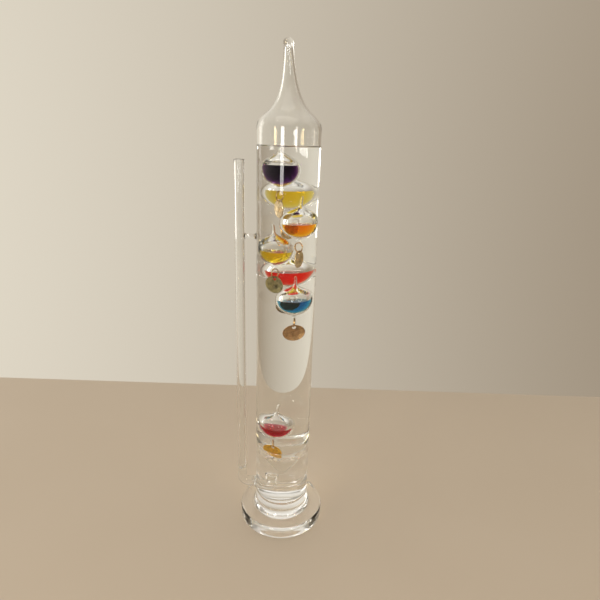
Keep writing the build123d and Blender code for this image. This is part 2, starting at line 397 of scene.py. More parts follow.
def metal(name, colour, dark, roughness, pits):
    """Stamped or drawn brass: tarnish in the colour, and fine scratches and pits in the surface."""
    material, tree, out = new_material(name)
    shader = node(tree, "BsdfPrincipled", Metallic=1.0)
    tarnish = noise(tree, 420, 5.0, 0.6)
    mix = node(tree, "Mix", data_type="RGBA")
    mix.inputs["A"].default_value = (*colour, 1)
    mix.inputs["B"].default_value = (*dark, 1)
    tree.links.new(ramp(tree, tarnish, 0.0, 1.0, 0.42, 0.72), mix.inputs["Factor"])
    tree.links.new(mix.outputs["Result"], shader.inputs["Base Color"])
    scratches = noise(tree, 1500, 3.0, 0.6, (1, 1, 0.2))
    tree.links.new(
        ramp(tree, scratches, roughness * 0.7, roughness * 1.5), shader.inputs["Roughness"]
    )
    tree.links.new(bump(tree, scratches, pits), shader.inputs["Normal"])
    tree.links.new(shader.outputs[0], out.inputs["Surface"])
    return material


CLEAR = (0.985, 0.99, 0.985)
MATERIALS = {
    "air": glass("glass_against_air", GLASS_IOR, CLEAR, 0.00006, 0.09),
    "inner": glass("glass_inside_air", GLASS_IOR, CLEAR, 0.00004, 0.0),
    "oil": glass("glass_against_oil", GLASS_IOR / OIL_IOR, CLEAR, 0.0001, 0.0),
    "water": glass("glass_against_water", GLASS_IOR / WATER_IOR, CLEAR, 0.0001, 0.0),
    "dye": glass("glass_against_dye", GLASS_IOR / DYE_IOR, CLEAR, 0.0, 0.0),
    "oil_top": glass("oil_open_face", OIL_IOR, (1, 1, 1), 0.000004, 0.0),
    "water_top": glass("water_open_face", WATER_IOR, (1, 1, 1), 0.000004, 0.0),
    "fused": neutral("fused_glass"),
    "ring": metal("ring_wire", (0.62, 0.42, 0.20), (0.28, 0.17, 0.07), 0.24, 0.000006),
}


# ------------------------------------------------------------------ mesh making
def slots_of(kinds):
    """The kinds used, in a fixed order."""
    return sorted(set(kinds))


def ring_of(mesh, r, z, around):
    """A ring of vertices about Z, or one vertex on the axis."""
    if r < 1e-6:
        return [mesh.verts.new((0, 0, z))]
    turn = 2 * math.pi / around
    return [
        mesh.verts.new((r * math.cos(i * turn), r * math.sin(i * turn), z))
        for i in range(around)
    ]


def band(mesh, lower, upper, index):
    """The faces between two rings."""
    around = max(len(lower), len(upper))
    for i in range(around):
        j = (i + 1) % around
        corners = [lower[i % len(lower)], lower[j % len(lower)]]
        corners += [upper[j % len(upper)], upper[i % len(upper)]]
        corners = [c for k, c in enumerate(corners) if c not in corners[:k]]
        if len(corners) > 2:
            mesh.faces.new(corners).material_index = index


def turned(mesh, outline, around, kinds):
    """Adds the surface that an outline sweeps about Z."""
    rings = [ring_of(mesh, r, z, around) for r, z in outline.points]
    if math.dist(outline.points[0], outline.points[-1]) < 1e-6 and outline.points[0][0] > 0:
        for vertex in rings.pop():
            mesh.verts.remove(vertex)
        rings.append(rings[0])
    for lower, upper, kind in zip(rings, rings[1:], outline.kinds):
        band(mesh, lower, upper, kinds.index(kind))


def new_piece(name, mesh, kinds):
    """An object from a bmesh in millimetres, with a material for each kind."""
    data = bpy.data.meshes.new(name)
    mesh.to_mesh(data)
    mesh.free()
    for kind in kinds:
        data.materials.append(MATERIALS[kind])
    made = bpy.data.objects.new(name, data)
    bpy.context.scene.collection.objects.link(made)
    return made


def lathe_piece(name, outlines, around=AROUND):
    """A turned object from one or more outlines."""
    kinds = slots_of([kind for outline in outlines for kind in outline.kinds])
    mesh = bmesh.new()
    for outline in outlines:
        turned(mesh, outline, around, kinds)
    return new_piece(name, mesh, kinds)


def combine(piece, tool, operation):
    """Cuts or joins another object, which is used up. New faces keep the tool's materials."""
    modifier = piece.modifiers.new("combine", "BOOLEAN")
    modifier.operation = operation
    modifier.solver = "EXACT"
    modifier.object = tool
    modifier.material_mode = "TRANSFER"
    result = bpy.data.meshes.new_from_object(piece.evaluated_get(bpy.context.evaluated_depsgraph_get()))
    piece.modifiers.clear()
    piece.data = result
    bpy.data.objects.remove(tool)
    return piece


def settle(piece, body, cad_nodes):
    """Scales a piece to metres, shades it, ties it to its body and hides the CAD nodes it stands for."""
    data = piece.data
    data.transform(Matrix.Scale(MM, 4))
    data.polygons.foreach_set("use_smooth", [True] * len(data.polygons))
    data.set_sharp_from_angle(angle=SHARP)
    data.update()
    data.name = piece.name
    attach(piece, body)
    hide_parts(*cad_nodes.split())
    return piece


# ------------------------------------------------------------------ the column, its foot and its partition
def foot():
    """The thick clear disc that the column is fused on."""
    low = FOOT_ROUND * 0.4
    outline = Outline(0, 0).to("air", (FOOT_R - 9, 0), (FOOT_R - low, 0))
    outline.arc("air", (FOOT_R - low, low), low, -90, 0, 6)
    outline.arc("air", (FOOT_R - FOOT_ROUND, FOOT_TOP - FOOT_ROUND), FOOT_ROUND, 0, 90, 14)
    outline.to("air", (FLARE_R, FOOT_TOP)).to("fused", (0, FOOT_TOP))
    settle(lathe_piece("clear_foot", [outline]), "root", "foot_disc")


def wall_to(outline, kind, r, z_from, z_to, step):
    """A straight wall in short stretches, so that what is cut in it leaves its shading alone."""
    count = max(1, round(abs(z_to - z_from) / step))
    return outline.to(kind, *[(r, z) for z in np.linspace(z_from, z_to, count + 1)[1:]])


def column_outline():
    """The column's outside, from the foot up to the finial."""
    outline = Outline(0, FOOT_TOP).to("fused", (FLARE_R, FOOT_TOP))
    outline.curve("air", (-1, 0.12), (0, 1), 14, (COLUMN_R, FOOT_TOP + FLARE_RISE))
    wall_to(outline, "air", COLUMN_R, FOOT_TOP + FLARE_RISE, TUBE_LEG_Z + 10, 1.0)
    wall_to(outline, "air", COLUMN_R, TUBE_LEG_Z + 10, TIE_Z - 8, 8.0)
    wall_to(outline, "air", COLUMN_R, TIE_Z - 8, TIE_Z + 8, 1.0)
    wall_to(outline, "air", COLUMN_R, TIE_Z + 8, SHOULDER_Z, 8.0)
    outline.curve(
        "air",
        (0, 1),
        (-0.02, 1),
        70,
        (23.4, SHOULDER_Z + 6.2),
        (17.0, SHOULDER_Z + 12.2),
        (9.6, SHOULDER_Z + 22.8),
        (4.7, SHOULDER_Z + 43.5),
        (3.8, TIP_Z - 6.2),
    )
    return outline.curve("air", (0.02, 1), (-1, 0), 16, (3.95, TIP_Z - 3.0), (0, TIP_Z))


def bore_outline():
    """The column's inside, from the chamber's floor up to the finial's narrow bore."""
    corner = (BORE_R - CHAMBER_ROUND, CHAMBER_FLOOR_Z + CHAMBER_ROUND)
    outline = Outline(0, CHAMBER_FLOOR_Z).to("water", (corner[0], CHAMBER_FLOOR_Z))
    outline.arc("water", corner, CHAMBER_ROUND, -90, 0, 16)
    wall_to(outline, "water", BORE_R, corner[1], WATER_Z + MENISCUS, 1.0)
    outline.to("inner", (BORE_R, FUNNEL_RIM_Z - WELD))
    outline.to("fused", (BORE_R, FUNNEL_RIM_Z + FUNNEL_RISE + WELD))
    wall_to(outline, "oil", BORE_R, outline.points[-1][1], OIL_Z + MENISCUS, 8.0)
    outline.to("inner", (BORE_R, SHOULDER_Z - 0.5))
    outline.curve(
        "inner",
        (0, 1),
        (-0.05, 1),
        60,
        (21.7, SHOULDER_Z + 5.0),
        (15.7, SHOULDER_Z + 10.8),
        (8.2, SHOULDER_Z + 22.0),
        (3.3, SHOULDER_Z + 43.5),
        (2.2, TIP_Z - 7.0),
    )
    return outline.curve("inner", (-0.05, 1), (-1, 0), 10, (0, TIP_Z - 4.5))


def lean_finial(piece):
    """The shoulder isn't quite level, and the drawn tip isn't quite upright."""
    for vertex in piece.data.vertices:
        tilt = min(1.0, max(0.0, (vertex.co.z - SHOULDER_Z + 6) / 10))
        vertex.co.z -= SHOULDER_TILT * tilt * vertex.co.x
        share = max(0.0, (vertex.co.z - SHOULDER_Z - 12) / (TIP_Z - SHOULDER_Z - 12))
        vertex.co.x -= FINIAL_LEAN * share**1.3


def column():
    """The column's glass, cut where the side tube and its tie are fused in."""
    piece = lathe_piece("column_of_glass", [column_outline(), bore_outline().back()])
    combine(piece, tube_cutter(), "DIFFERENCE")
    combine(piece, tie_cutter(), "DIFFERENCE")
    lean_finial(piece)
    settle(piece, "root", "chamber_glass column_glass column_top")


def cone_outline(kind, tip_z, rim_z, reach):
    """A blunt cone's surface from its tip on the axis up to a radius."""
    slope = (rim_z - tip_z) / (BORE_R - FUNNEL_ROUND)
    knee = (FUNNEL_KNEE_R, tip_z + FUNNEL_KNEE_R * slope * FUNNEL_KNEE_RISE)
    outline = Outline(0, tip_z).curve(kind, (1, 0), (1, slope), 10, knee)
    share = (reach - FUNNEL_KNEE_R) / (BORE_R - FUNNEL_KNEE_R)
    return outline.to(kind, (reach, knee[1] + share * (rim_z - knee[1])))


def funnel_under(kind):
    """The partition's underside, out to its weld at the bore."""
    outline = cone_outline(kind, FUNNEL_TIP_Z, FUNNEL_RIM_Z, BORE_R - WELD)
    slope = (FUNNEL_RIM_Z - FUNNEL_TIP_Z) / (BORE_R - FUNNEL_ROUND)
    return outline.curve(kind, (1, slope), (0.05, -1), 10, (BORE_R, FUNNEL_RIM_Z - WELD))


def funnel_over(kind):
    """The partition's upper face, out to its weld at the bore."""
    rim_z = FUNNEL_RIM_Z + FUNNEL_RISE
    outline = cone_outline(kind, FUNNEL_TIP_Z + FUNNEL_RISE, rim_z, BORE_R - WELD)
    slope = (rim_z - FUNNEL_TIP_Z - FUNNEL_RISE) / (BORE_R - FUNNEL_ROUND)
    return outline.curve(kind, (1, slope), (0, 1), 10, (BORE_R, rim_z + WELD))


def funnel():
    """The cone-shaped partition that carries the oil above the air chamber."""
    under = funnel_under("water").split(WATER_Z, "inner")
    outline = under.to("fused", (BORE_R, FUNNEL_RIM_Z + FUNNEL_RISE + WELD))
    outline.then(funnel_over("oil").back())
    settle(lathe_piece("funnel", [outline]), "root", "funnel_partition")


# ------------------------------------------------------------------ the liquids in the column and chamber
def meniscus(z, kind, outer_r, steps=18):
    """A liquid's open face from the wall to the axis, drawn up where it meets the wall."""
    outline = Outline(outer_r, z + MENISCUS)
    for share in np.linspace(0, 1, steps + 1)[1:]:
        inward = MENISCUS_REACH * share**2
        outline.to(kind, (outer_r - inward, z + MENISCUS * math.exp(-inward / MENISCUS_RUN)))
    return outline.to(kind, (0, z))


def inset(outline):
    """An outline drawn in from the glass by the liquid's skin."""
    points = outline.points
    moved = Outline(max(points[0][0] - SKIN, 0), points[0][1] + SKIN)
    for (r, z), kind in zip(points[1:], outline.kinds):
        moved.to(kind, (max(min(r, BORE_R - SKIN), 0), z + SKIN))
    return moved


def oil():
    """The clear oil that the vials float in. The purple vial's neck stands out of it."""
    outline = inset(funnel_over("fused"))
    top = meniscus(OIL_Z, "oil_top", BORE_R - SKIN)
    outline.to("fused", top.points[0]).then(top)
    piece = lathe_piece("clear_oil", [outline])
    neck = vial_matrix("purple").translation
    low, high, neck_r = OIL_Z - NECK_HOLE_REACH, OIL_Z + NECK_HOLE_REACH, NECK_R * NECK_TAPER
    hole = Outline(0, low).to("fused", (neck_r, low), (neck_r, high), (0, high))
    cutter = lathe_piece("neck_cutter", [hole], AROUND_VIAL)
    cutter.data.transform(Matrix.Translation((neck.x, neck.y, 0)))
    combine(piece, cutter, "DIFFERENCE")
    settle(piece, "root", "column_liquid")


def water():
    """The water in the chamber under the partition, and in the side tube."""
    corner = (BORE_R - CHAMBER_ROUND, CHAMBER_FLOOR_Z + CHAMBER_ROUND)
    outline = Outline(0, CHAMBER_FLOOR_Z + SKIN).to("fused", (corner[0], CHAMBER_FLOOR_Z + SKIN))
    outline.arc("fused", corner, CHAMBER_ROUND - SKIN, -90, 0, 16)
    under = funnel_under("fused").split(WATER_Z, "inner")
    wet = [point for point in under.points if point[1] <= WATER_Z + 1e-6]
    outline.to("fused", (BORE_R - SKIN, WATER_Z + MENISCUS))
    open_face = meniscus(WATER_Z, "water_top", BORE_R - SKIN)
    outline.to("water_top", *[p for p in open_face.points[1:] if p[0] > wet[-1][0] + 1.2])
    outline.to("water_top", (wet[-1][0] + SKIN, WATER_Z + 0.3))
    outline.to("fused", *[(r, z - SKIN) for r, z in wet[::-1]])
    piece = lathe_piece("chamber_water", [outline])
    settle(piece, "root", "barometer_water")
    settle(tube_water(), "root", "barometer_water")


# ------------------------------------------------------------------ the side tube and its tie
def tube_stations(step_z=6.0):
    """The side tube's route: each station's place in XZ, and the direction it runs in, in degrees."""
    stations = [(TUBE_X, z, -90.0) for z in np.arange(TUBE_TOP_Z, TUBE_LEG_Z + TUBE_BEND_R, -step_z)]
    for turn in np.linspace(0, 90, 13):
        a = math.radians(turn)
        x = TUBE_X + TUBE_BEND_R * (1 - math.cos(a))
        stations.append((x, TUBE_LEG_Z + TUBE_BEND_R * (1 - math.sin(a)), turn - 90))
    stations += [(x, TUBE_LEG_Z, 0.0) for x in np.arange(TUBE_RUN_X, SPOUT_X - SPOUT_BEND_R - 0.2, 1.0)]
    for turn in np.linspace(0, 90, 13):
        a = math.radians(turn)
        x = SPOUT_X - SPOUT_BEND_R * (1 - math.sin(a))
        stations.append((x, TUBE_LEG_Z + SPOUT_BEND_R * (1 - math.cos(a)), turn))
    return stations + [(SPOUT_X, SPOUT_MOUTH_Z, 90.0)]


def hoop(mesh, station, radius):
    """A ring of vertices across the tube's route. Its first vertex is on the -Y side."""
    x, z, heading = station
    side = math.radians(heading + 90)
    made = []
    for i in range(AROUND_TUBE):
        a = 2 * math.pi * i / AROUND_TUBE
        across = radius * math.sin(a)
        place = (x + across * math.cos(side), -radius * math.cos(a), z + across * math.sin(side))
        made.append(mesh.verts.new(place))
    return made


def on_cylinder(ring, radius):
    """Moves a ring's vertices along X onto the -X side of an upright cylinder about Z."""
    for vertex in ring:
        vertex.co.x = -math.sqrt(radius**2 - vertex.co.y**2)
    return ring


def collar_rings(mesh, z, thin_r, wide_r, run):
    """The flare towards the column along +X: rings from thin to wide, the last on the column's wall."""
    rings = []
    for share in np.linspace(0, 1, COLLAR_STEPS + 1):
        eased = share**COLLAR_EASE
        ring = hoop(mesh, (-COLUMN_R - run * (1 - share), z, 0.0), thin_r + (wide_r - thin_r) * eased)
        for vertex in ring:
            wall_x = -math.sqrt((COLUMN_R - POCKET) ** 2 - vertex.co.y**2)
            vertex.co.x += eased * (wall_x - vertex.co.x)
        rings.append(ring)
    return rings


def close_end(mesh, ring, index):
    """Closes a ring with one face."""
    mesh.faces.new(ring).material_index = index


def tube():
    """The open side tube: down beside the column, under it into the chamber and up to a spout."""
    kinds = ["air", "fused", "inner", "water"]
    air, fused, inner, wet = range(4)
    mesh = bmesh.new()
    stations = tube_stations()
    outside = [s for s in stations if s[0] < -COLUMN_R - COLLAR_RUN]
    inside = [s for s in stations if s[0] > -BORE_R + 0.6]
    rings = [hoop(mesh, s, TUBE_R) for s in outside[1:]]
    bands = [air] * (len(rings) - 1)
    flare = collar_rings(mesh, TUBE_LEG_Z, TUBE_R, COLLAR_R, COLLAR_RUN)
    rings += flare
    bands += [air] * len(flare)
    level = (0.0, TUBE_LEG_Z, 0.0)
    rings.append(on_cylinder(hoop(mesh, level, TUBE_R), COLUMN_R - POCKET))
    rings.append(on_cylinder(hoop(mesh, level, TUBE_R), BORE_R))
    bands += [fused, fused]
    rings += [hoop(mesh, s, TUBE_R) for s in inside[:-1]]
    bands += [wet] * (len(inside) - 1)
    mid, half = (TUBE_R + TUBE_BORE_R) / 2, (TUBE_R - TUBE_BORE_R) / 2
    for turn in np.linspace(0, 180, 9):
        a = math.radians(turn)
        lip = (SPOUT_X, SPOUT_MOUTH_Z - half + half * math.sin(a), 90.0)
        rings.append(hoop(mesh, lip, mid + half * math.cos(a)))
        bands.append(wet)
    bore = [s for s in stations if s[1] < SPOUT_MOUTH_Z - half or s[0] < SPOUT_X - 9]
    top = TUBE_TOP_Z - half
    for s in bore[::-1]:
        if s[1] > top - 0.5:
            continue
        land = min(1.0, max(0.0, (s[1] - TUBE_TOP_Z + MOUTH_LAND + MOUTH_TAPER) / MOUTH_TAPER))
        rings.append(hoop(mesh, s, TUBE_BORE_R + (MOUTH_BORE_R - TUBE_BORE_R) * land))
        in_water = s[0] > TUBE_X + 1 or s[1] < SIDE_WATER_Z + MENISCUS
        bands.append(wet if in_water else inner)
    for turn in np.linspace(180, 0, 9):
        a = math.radians(turn)
        lip = (TUBE_X, top + half * math.sin(a), -90.0)
        bore_r = MOUTH_BORE_R if turn > 90 else TUBE_R
        share = abs(math.cos(a))
        rings.append(hoop(mesh, lip, mid + (bore_r - mid) * share))
        bands.append(air)
    rings.append(rings[0])
    bands.append(air)
    for lower, upper, index in zip(rings, rings[1:], bands):
        band(mesh, lower, upper, index)
    bmesh.ops.recalc_face_normals(mesh, faces=mesh.faces)
    piece = new_piece("side_tube", mesh, kinds)
    combine(piece, tie_cutter(), "DIFFERENCE")
    settle(piece, "root", "barometer_tube")


def closed_rod(name, rings_of, kinds, bands):
    """A closed piece from rings in a row, with a face at each end."""
    mesh = bmesh.new()
    rings = rings_of(mesh)
    for lower, upper, index in zip(rings, rings[1:], bands(len(rings))):
        band(mesh, lower, upper, index)
    close_end(mesh, rings[0], bands(len(rings))[0])
    close_end(mesh, rings[-1], bands(len(rings))[-1])
    bmesh.ops.recalc_face_normals(mesh, faces=mesh.faces)
    return new_piece(name, mesh, kinds)


def tube_cutter():
    """What the side tube and its collar take out of the column's wall."""

    def rings_of(mesh):
        level = (0.0, TUBE_LEG_Z, 0.0)
        return [
            hoop(mesh, (-COLUMN_R - 2, TUBE_LEG_Z, 0.0), COLLAR_R),
            on_cylinder(hoop(mesh, level, COLLAR_R), COLUMN_R - POCKET),
            on_cylinder(hoop(mesh, level, TUBE_R), COLUMN_R - POCKET),
            hoop(mesh, (-BORE_R + 4, TUBE_LEG_Z, 0.0), TUBE_R),
        ]

    return closed_rod("tube_cutter", rings_of, ["fused"], lambda count: [0] * count)


def tie_rings(mesh):
    """The tie's rings from the side tube to the column, flared at both ends."""
    rings = []
    for share in np.linspace(0, 1, 5):
        eased = (1 - share) ** 2
        x = TUBE_X + TUBE_R + TIE_END_RUN * share
        ring = hoop(mesh, (x, TIE_Z, 0.0), TIE_R + (TIE_END_R - TIE_R) * eased)
        for vertex in ring:
            wall_x = TUBE_X + math.sqrt((TUBE_R - POCKET) ** 2 - vertex.co.y**2)
            vertex.co.x += eased * (wall_x - vertex.co.x)
        rings.append(ring)
    return rings + collar_rings(mesh, TIE_Z, TIE_R, TIE_FOOT_R, TIE_FOOT_RUN)


def tie_cutter():
    """What the tie takes out of the column's wall and the side tube, by its own form."""
    return closed_rod("tie_cutter", tie_rings, ["fused"], lambda count: [0] * count)


def tie():
    """The short glass bridge between the side tube and the column."""

    def bands(count):
        return [1] * (count - 1) + [0]

    piece = closed_rod("glass_tie", tie_rings, ["fused", "air"], bands)
    for polygon in piece.data.polygons:
        if len(polygon.vertices) > 4:
            polygon.material_index = 0
    settle(piece, "root", "tube_tie")


def tube_water():
    """The water in the side tube, level with the chamber's or a little above."""

    def rings_of(mesh):
        stations = tube_stations(2.0)
        run = [s for s in stations if s[0] > TUBE_X + 1 or s[1] < SIDE_WATER_Z - 0.6]
        run[-1] = (SPOUT_X, SPOUT_MOUTH_Z - 0.1, 90.0)
        rings = []
        for share in np.linspace(0, 1, 7)[1:]:
            rise = 0.8 * share**3
            ring = hoop(mesh, (TUBE_X, SIDE_WATER_Z + rise - 0.4, -90.0), (TUBE_BORE_R - SKIN) * share)
            rings.append(ring)
        return rings + [hoop(mesh, s, TUBE_BORE_R - SKIN) for s in run]

    def bands(count):
        return [1] * 5 + [0] * (count - 5)

    piece = closed_rod("side_tube_water", rings_of, ["fused", "water_top"], bands)
    piece.data.polygons[len(piece.data.polygons) - 2].material_index = 1
    return piece


# ------------------------------------------------------------------ the vials
def bulb_outline(kind, shrink, neck_top, neck_r, stem_r, stem_down):
    """A vial's onion form about its bulb centre, from the stem up to the neck's tip."""
    side_r = BULB_R - shrink
    outline = Outline(0, -stem_down).to(kind, (stem_r, -stem_down), (stem_r, -BULB_LOW + shrink))
    outline.curve(
        kind,
        (1, 0.25),
        (0, 1),
        26,
        (side_r * 0.73, -BULB_LOW * 0.69 + shrink * 0.8),
        (side_r, 0),
    )
    outline.curve(
        kind,
        (0, 1),
        (-0.1, 1),
        30,
        (side_r * 0.72, BULB_HIGH * 0.65 - shrink * 0.8),
        (neck_r, BULB_HIGH + 1.6),
    )
    wall_to_tip = np.linspace(0, 1, 7)[1:]
    low_z, high_z = BULB_HIGH + 1.6, neck_top - neck_r
    thinning = 1 - NECK_TAPER
    outline.to(kind, *[(neck_r * (1 - thinning * t), low_z + t * (high_z - low_z)) for t in wall_to_tip])
    return outline.curve(kind, (-0.1, 1), (-1, 0), 6, (0, neck_top))


def vial_matrix(name):
    """Where a vial's bulb centre is, with its lean."""
    bar = Vector(joint_named(f"{name}_ring_swing")["pos_m"]) / MM
    eye = bar + Vector((0, 0, EYE_R))
    lean = Matrix.Rotation(math.radians(VIALS[name][0]), 4, "Y")
    return Matrix.Translation(eye - lean @ Vector((0, 0, -EYE_DOWN))) @ lean


def bend_neck(mesh, name):
    """Bends the neck's drawn end to one side."""
    top, bend, azimuth = VIALS[name][1:4]
    start = BULB_HIGH + 2
    toward = Vector((math.cos(math.radians(azimuth)), math.sin(math.radians(azimuth)), 0))
    for vertex in mesh.verts:
        if vertex.co.z > start:
            vertex.co += toward * bend * ((vertex.co.z - start) / (top - start)) ** 2


def upright(azimuth):
    """Turns what lies in XY so that it stands in the upright plane at that azimuth."""
    turn = Matrix.Rotation(math.radians(azimuth), 4, "Z")
    return turn @ Matrix.Rotation(math.radians(90), 4, "X")


def wire_ring(mesh, ring_r, wire_r, steps, around, gap=0.0, offset=0.0):
    """A ring of round wire in XY. With a gap it is open, its two ends a little apart along Z."""
    rings = []
    span = 2 * math.pi - gap
    for i in range(steps + (1 if gap else 0)):
        share = i / steps
        turn = gap / 2 + span * share
        ring = []
        for k in range(around):
            a = 2 * math.pi * k / around
            r = ring_r + wire_r * math.cos(a)
            z = wire_r * math.sin(a) + offset * (share - 0.5)
            ring.append(mesh.verts.new((r * math.cos(turn), r * math.sin(turn), z)))
        rings.append(ring)
    if not gap:
        rings.append(rings[0])
    for lower, upper in zip(rings, rings[1:]):
        band(mesh, lower, upper, 0)
    if gap:
        close_end(mesh, rings[0], 0)
        close_end(mesh, rings[-1], 0)
    bmesh.ops.recalc_face_normals(mesh, faces=mesh.faces)


def vial_glass(name):
    """A vial's glass: the bulb with its neck and stem, its hollow, and the eye under it."""
    top = VIALS[name][1]
    place = vial_matrix(name)
    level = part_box(f"{name}_vial_dye")[1].z / MM
    kinds = ["air", "dye", "inner", "oil"]
    mesh = bmesh.new()
    outside = bulb_outline("oil", 0.0, top, NECK_R, STEM_R, STEM_DOWN)
    if place.translation.z + top > OIL_Z:
        outside = outside.split(OIL_Z - place.translation.z, "air")
    turned(mesh, outside, AROUND_VIAL, kinds)
    floor = BULB_LOW - BULB_WALL - 0.4
    hollow = bulb_outline("dye", BULB_WALL, top - NECK_SOLID, NECK_BORE_R, 0.5, floor)
    turned(mesh, hollow.back(), AROUND_VIAL, kinds)
    bend_neck(mesh, name)
    mesh.transform(place)
    hollow_faces = [face for face in mesh.faces if face.material_index == 1]
    edges = {edge for face in hollow_faces for edge in face.edges}
    verts = {vertex for face in hollow_faces for vertex in face.verts}
    bmesh.ops.bisect_plane(
        mesh,
        geom=[*verts, *edges, *hollow_faces],
        plane_co=(0, 0, level),
        plane_no=(0, 0, 1),
        dist=1e-5,
    )
    for face in mesh.faces:
        if face.material_index == 1 and face.calc_center_median().z > level:
            face.material_index = 2
    piece = new_piece(f"{name}_bulb", mesh, kinds)
    mesh = bmesh.new()
    wire_ring(mesh, EYE_R, EYE_WIRE_R, 40, AROUND_WIRE)
    normal = Vector(joint_named(f"{name}_ring_swing")["axis"])
    azimuth = math.degrees(math.atan2(normal.y, normal.x))
    mesh.transform(Matrix.Translation(place @ Vector((0, 0, -EYE_DOWN))) @ upright(azimuth))
    combine(piece, new_piece("eye", mesh, ["oil"]), "UNION")
    settle(piece, f"{name}_vial", f"{name}_vial_glass")


def vial_dye(name):
    """The dyed liquid in a vial, drawn in by its skin, with a level open face."""
    top = VIALS[name][1]
    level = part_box(f"{name}_vial_dye")[1].z / MM
    mesh = bmesh.new()
    layer = mesh.faces.layers.float.new("open_face")
    floor = BULB_LOW - BULB_WALL - 0.4 - SKIN
    body = bulb_outline("fused", BULB_WALL + SKIN, top - NECK_SOLID, NECK_BORE_R, 0.5 - SKIN, floor)
    turned(mesh, body, AROUND_VIAL, ["fused"])
    mesh.transform(vial_matrix(name))
    cut = bmesh.ops.bisect_plane(
        mesh,
        geom=[*mesh.verts, *mesh.edges, *mesh.faces],
        plane_co=(0, 0, level),
        plane_no=(0, 0, 1),
        clear_outer=True,
        dist=1e-5,
    )
    rim = [item for item in cut["geom_cut"] if isinstance(item, bmesh.types.BMEdge)]
    face = bmesh.ops.contextual_create(mesh, geom=rim)["faces"][0]
    face[layer] = 1.0
    if face.normal.z < 0:
        face.normal_flip()
    MATERIALS[name] = dye(f"{name}_dye", VIALS[name][6])
    piece = new_piece(f"{name}_dyed_liquid", mesh, [name])
    settle(piece, f"{name}_vial", f"{name}_vial_dye")


def ring_centre(name):
    """The centre of the wire ring, which hangs on the eye's lowest bar."""
    bar = Vector(joint_named(f"{name}_ring_swing")["pos_m"]) / MM
    return bar - Vector((0, 0, RING_R - EYE_WIRE_R - RING_WIRE_R - RING_PLAY))


def ring(name):
    """The split brass ring between the eye and the tag."""
    mesh = bmesh.new()
    wire_ring(mesh, RING_R, RING_WIRE_R, 64, AROUND_WIRE, math.radians(7), RING_WIRE_R * 0.5)
    normal = Vector(joint_named(f"{name}_ring_swing")["axis"])
    azimuth = math.degrees(math.atan2(normal.y, normal.x)) - 90
    mesh.transform(Matrix.Translation(ring_centre(name)) @ upright(azimuth))
    piece = new_piece(f"{name}_split_ring", mesh, ["ring"])
    settle(piece, f"{name}_ring", f"{name}_ring")


def tag_outline(kind):
    """A tag's section: a flat disc with a rounded, slightly raised rim on both faces."""
    half, field = TAG_T / 2, TAG_T / 2 - TAG_RECESS
    inner_r = TAG_R - TAG_RIM
    rim = half * 0.8
    upper = Outline(TAG_R, 0).arc(kind, (TAG_R - rim, half - rim), rim, 10, 90, 6)
    upper.to(kind, (inner_r, half), (inner_r - 0.25, field), (inner_r - 1.1, field))
    upper.to(kind, (inner_r - 1.25, field + 0.08), (inner_r - 1.4, field), (0, field))
    axis_r, axis_z = upper.points[-1]
    lower = Outline(axis_r, -axis_z)
    for r, z in upper.points[-2::-1]:
        lower.to(kind, (r, -z))
    return lower.then(upper)


def numerals(text, size):
    """Raised numerals in XY, centred on the origin and facing +Z."""
    curve = bpy.data.curves.new("numerals", "FONT")
    curve.body = text
    curve.size = size
    curve.extrude = NUMERAL_RISE
    curve.offset = 0.05
    curve.resolution_u = 4
    curve.align_x = "CENTER"
    curve.align_y = "CENTER"
    made = bpy.data.objects.new("numerals", curve)
    bpy.context.scene.collection.objects.link(made)
    bpy.context.view_layer.update()
    data = bpy.data.meshes.new_from_object(
        made.evaluated_get(bpy.context.evaluated_depsgraph_get())
    )
    bpy.data.objects.remove(made)
    mesh = bmesh.new()
    mesh.from_mesh(data)
    bmesh.ops.remove_doubles(mesh, verts=mesh.verts, dist=0.001)
    bmesh.ops.recalc_face_normals(mesh, faces=mesh.faces)
    return mesh


def tag(name):
    """The round brass tag with its temperature in raised numerals on both faces."""
    kind = f"{name}_tag"
    # The brass colour holds painted reflection and shade: darker tags are painted darker for the dark
    # surroundings they reflect.
    colour = VIALS[name][7]
    MATERIALS[kind] = metal(kind, colour, tuple(0.36 * share for share in colour), 0.34, 0.00002)
    piece = lathe_piece(f"{name}_brass_tag", [tag_outline(kind)], 72)
    up = TAG_R - TAG_HOLE_EDGE - TAG_HOLE_R
    punch = Outline(0, -TAG_T).to(kind, (TAG_HOLE_R, -TAG_T), (TAG_HOLE_R, TAG_T), (0, TAG_T))
    cutter = lathe_piece("punch", [punch], 36)
    cutter.data.transform(Matrix.Translation((0, up, 0)))
    combine(piece, cutter, "DIFFERENCE")
    for side in (0, 180):
        mesh = numerals(VIALS[name][5], NUMERAL_SIZE)
        face = Matrix.Rotation(math.radians(side), 4, "Y")
        mesh.transform(face @ Matrix.Translation((0, -NUMERAL_DROP, TAG_T / 2 - TAG_RECESS)))
        combine(piece, new_piece("stamp", mesh, [kind]), "UNION")
    drop = RING_R - RING_WIRE_R - RING_PLAY + TAG_HOLE_R
    hole = ring_centre(name) - Vector((0, 0, drop))
    turn = upright(VIALS[name][4])
    piece.data.transform(Matrix.Translation(hole) @ turn @ Matrix.Translation((0, -up, 0)))
    settle(piece, f"{name}_tag", f"{name}_tag")


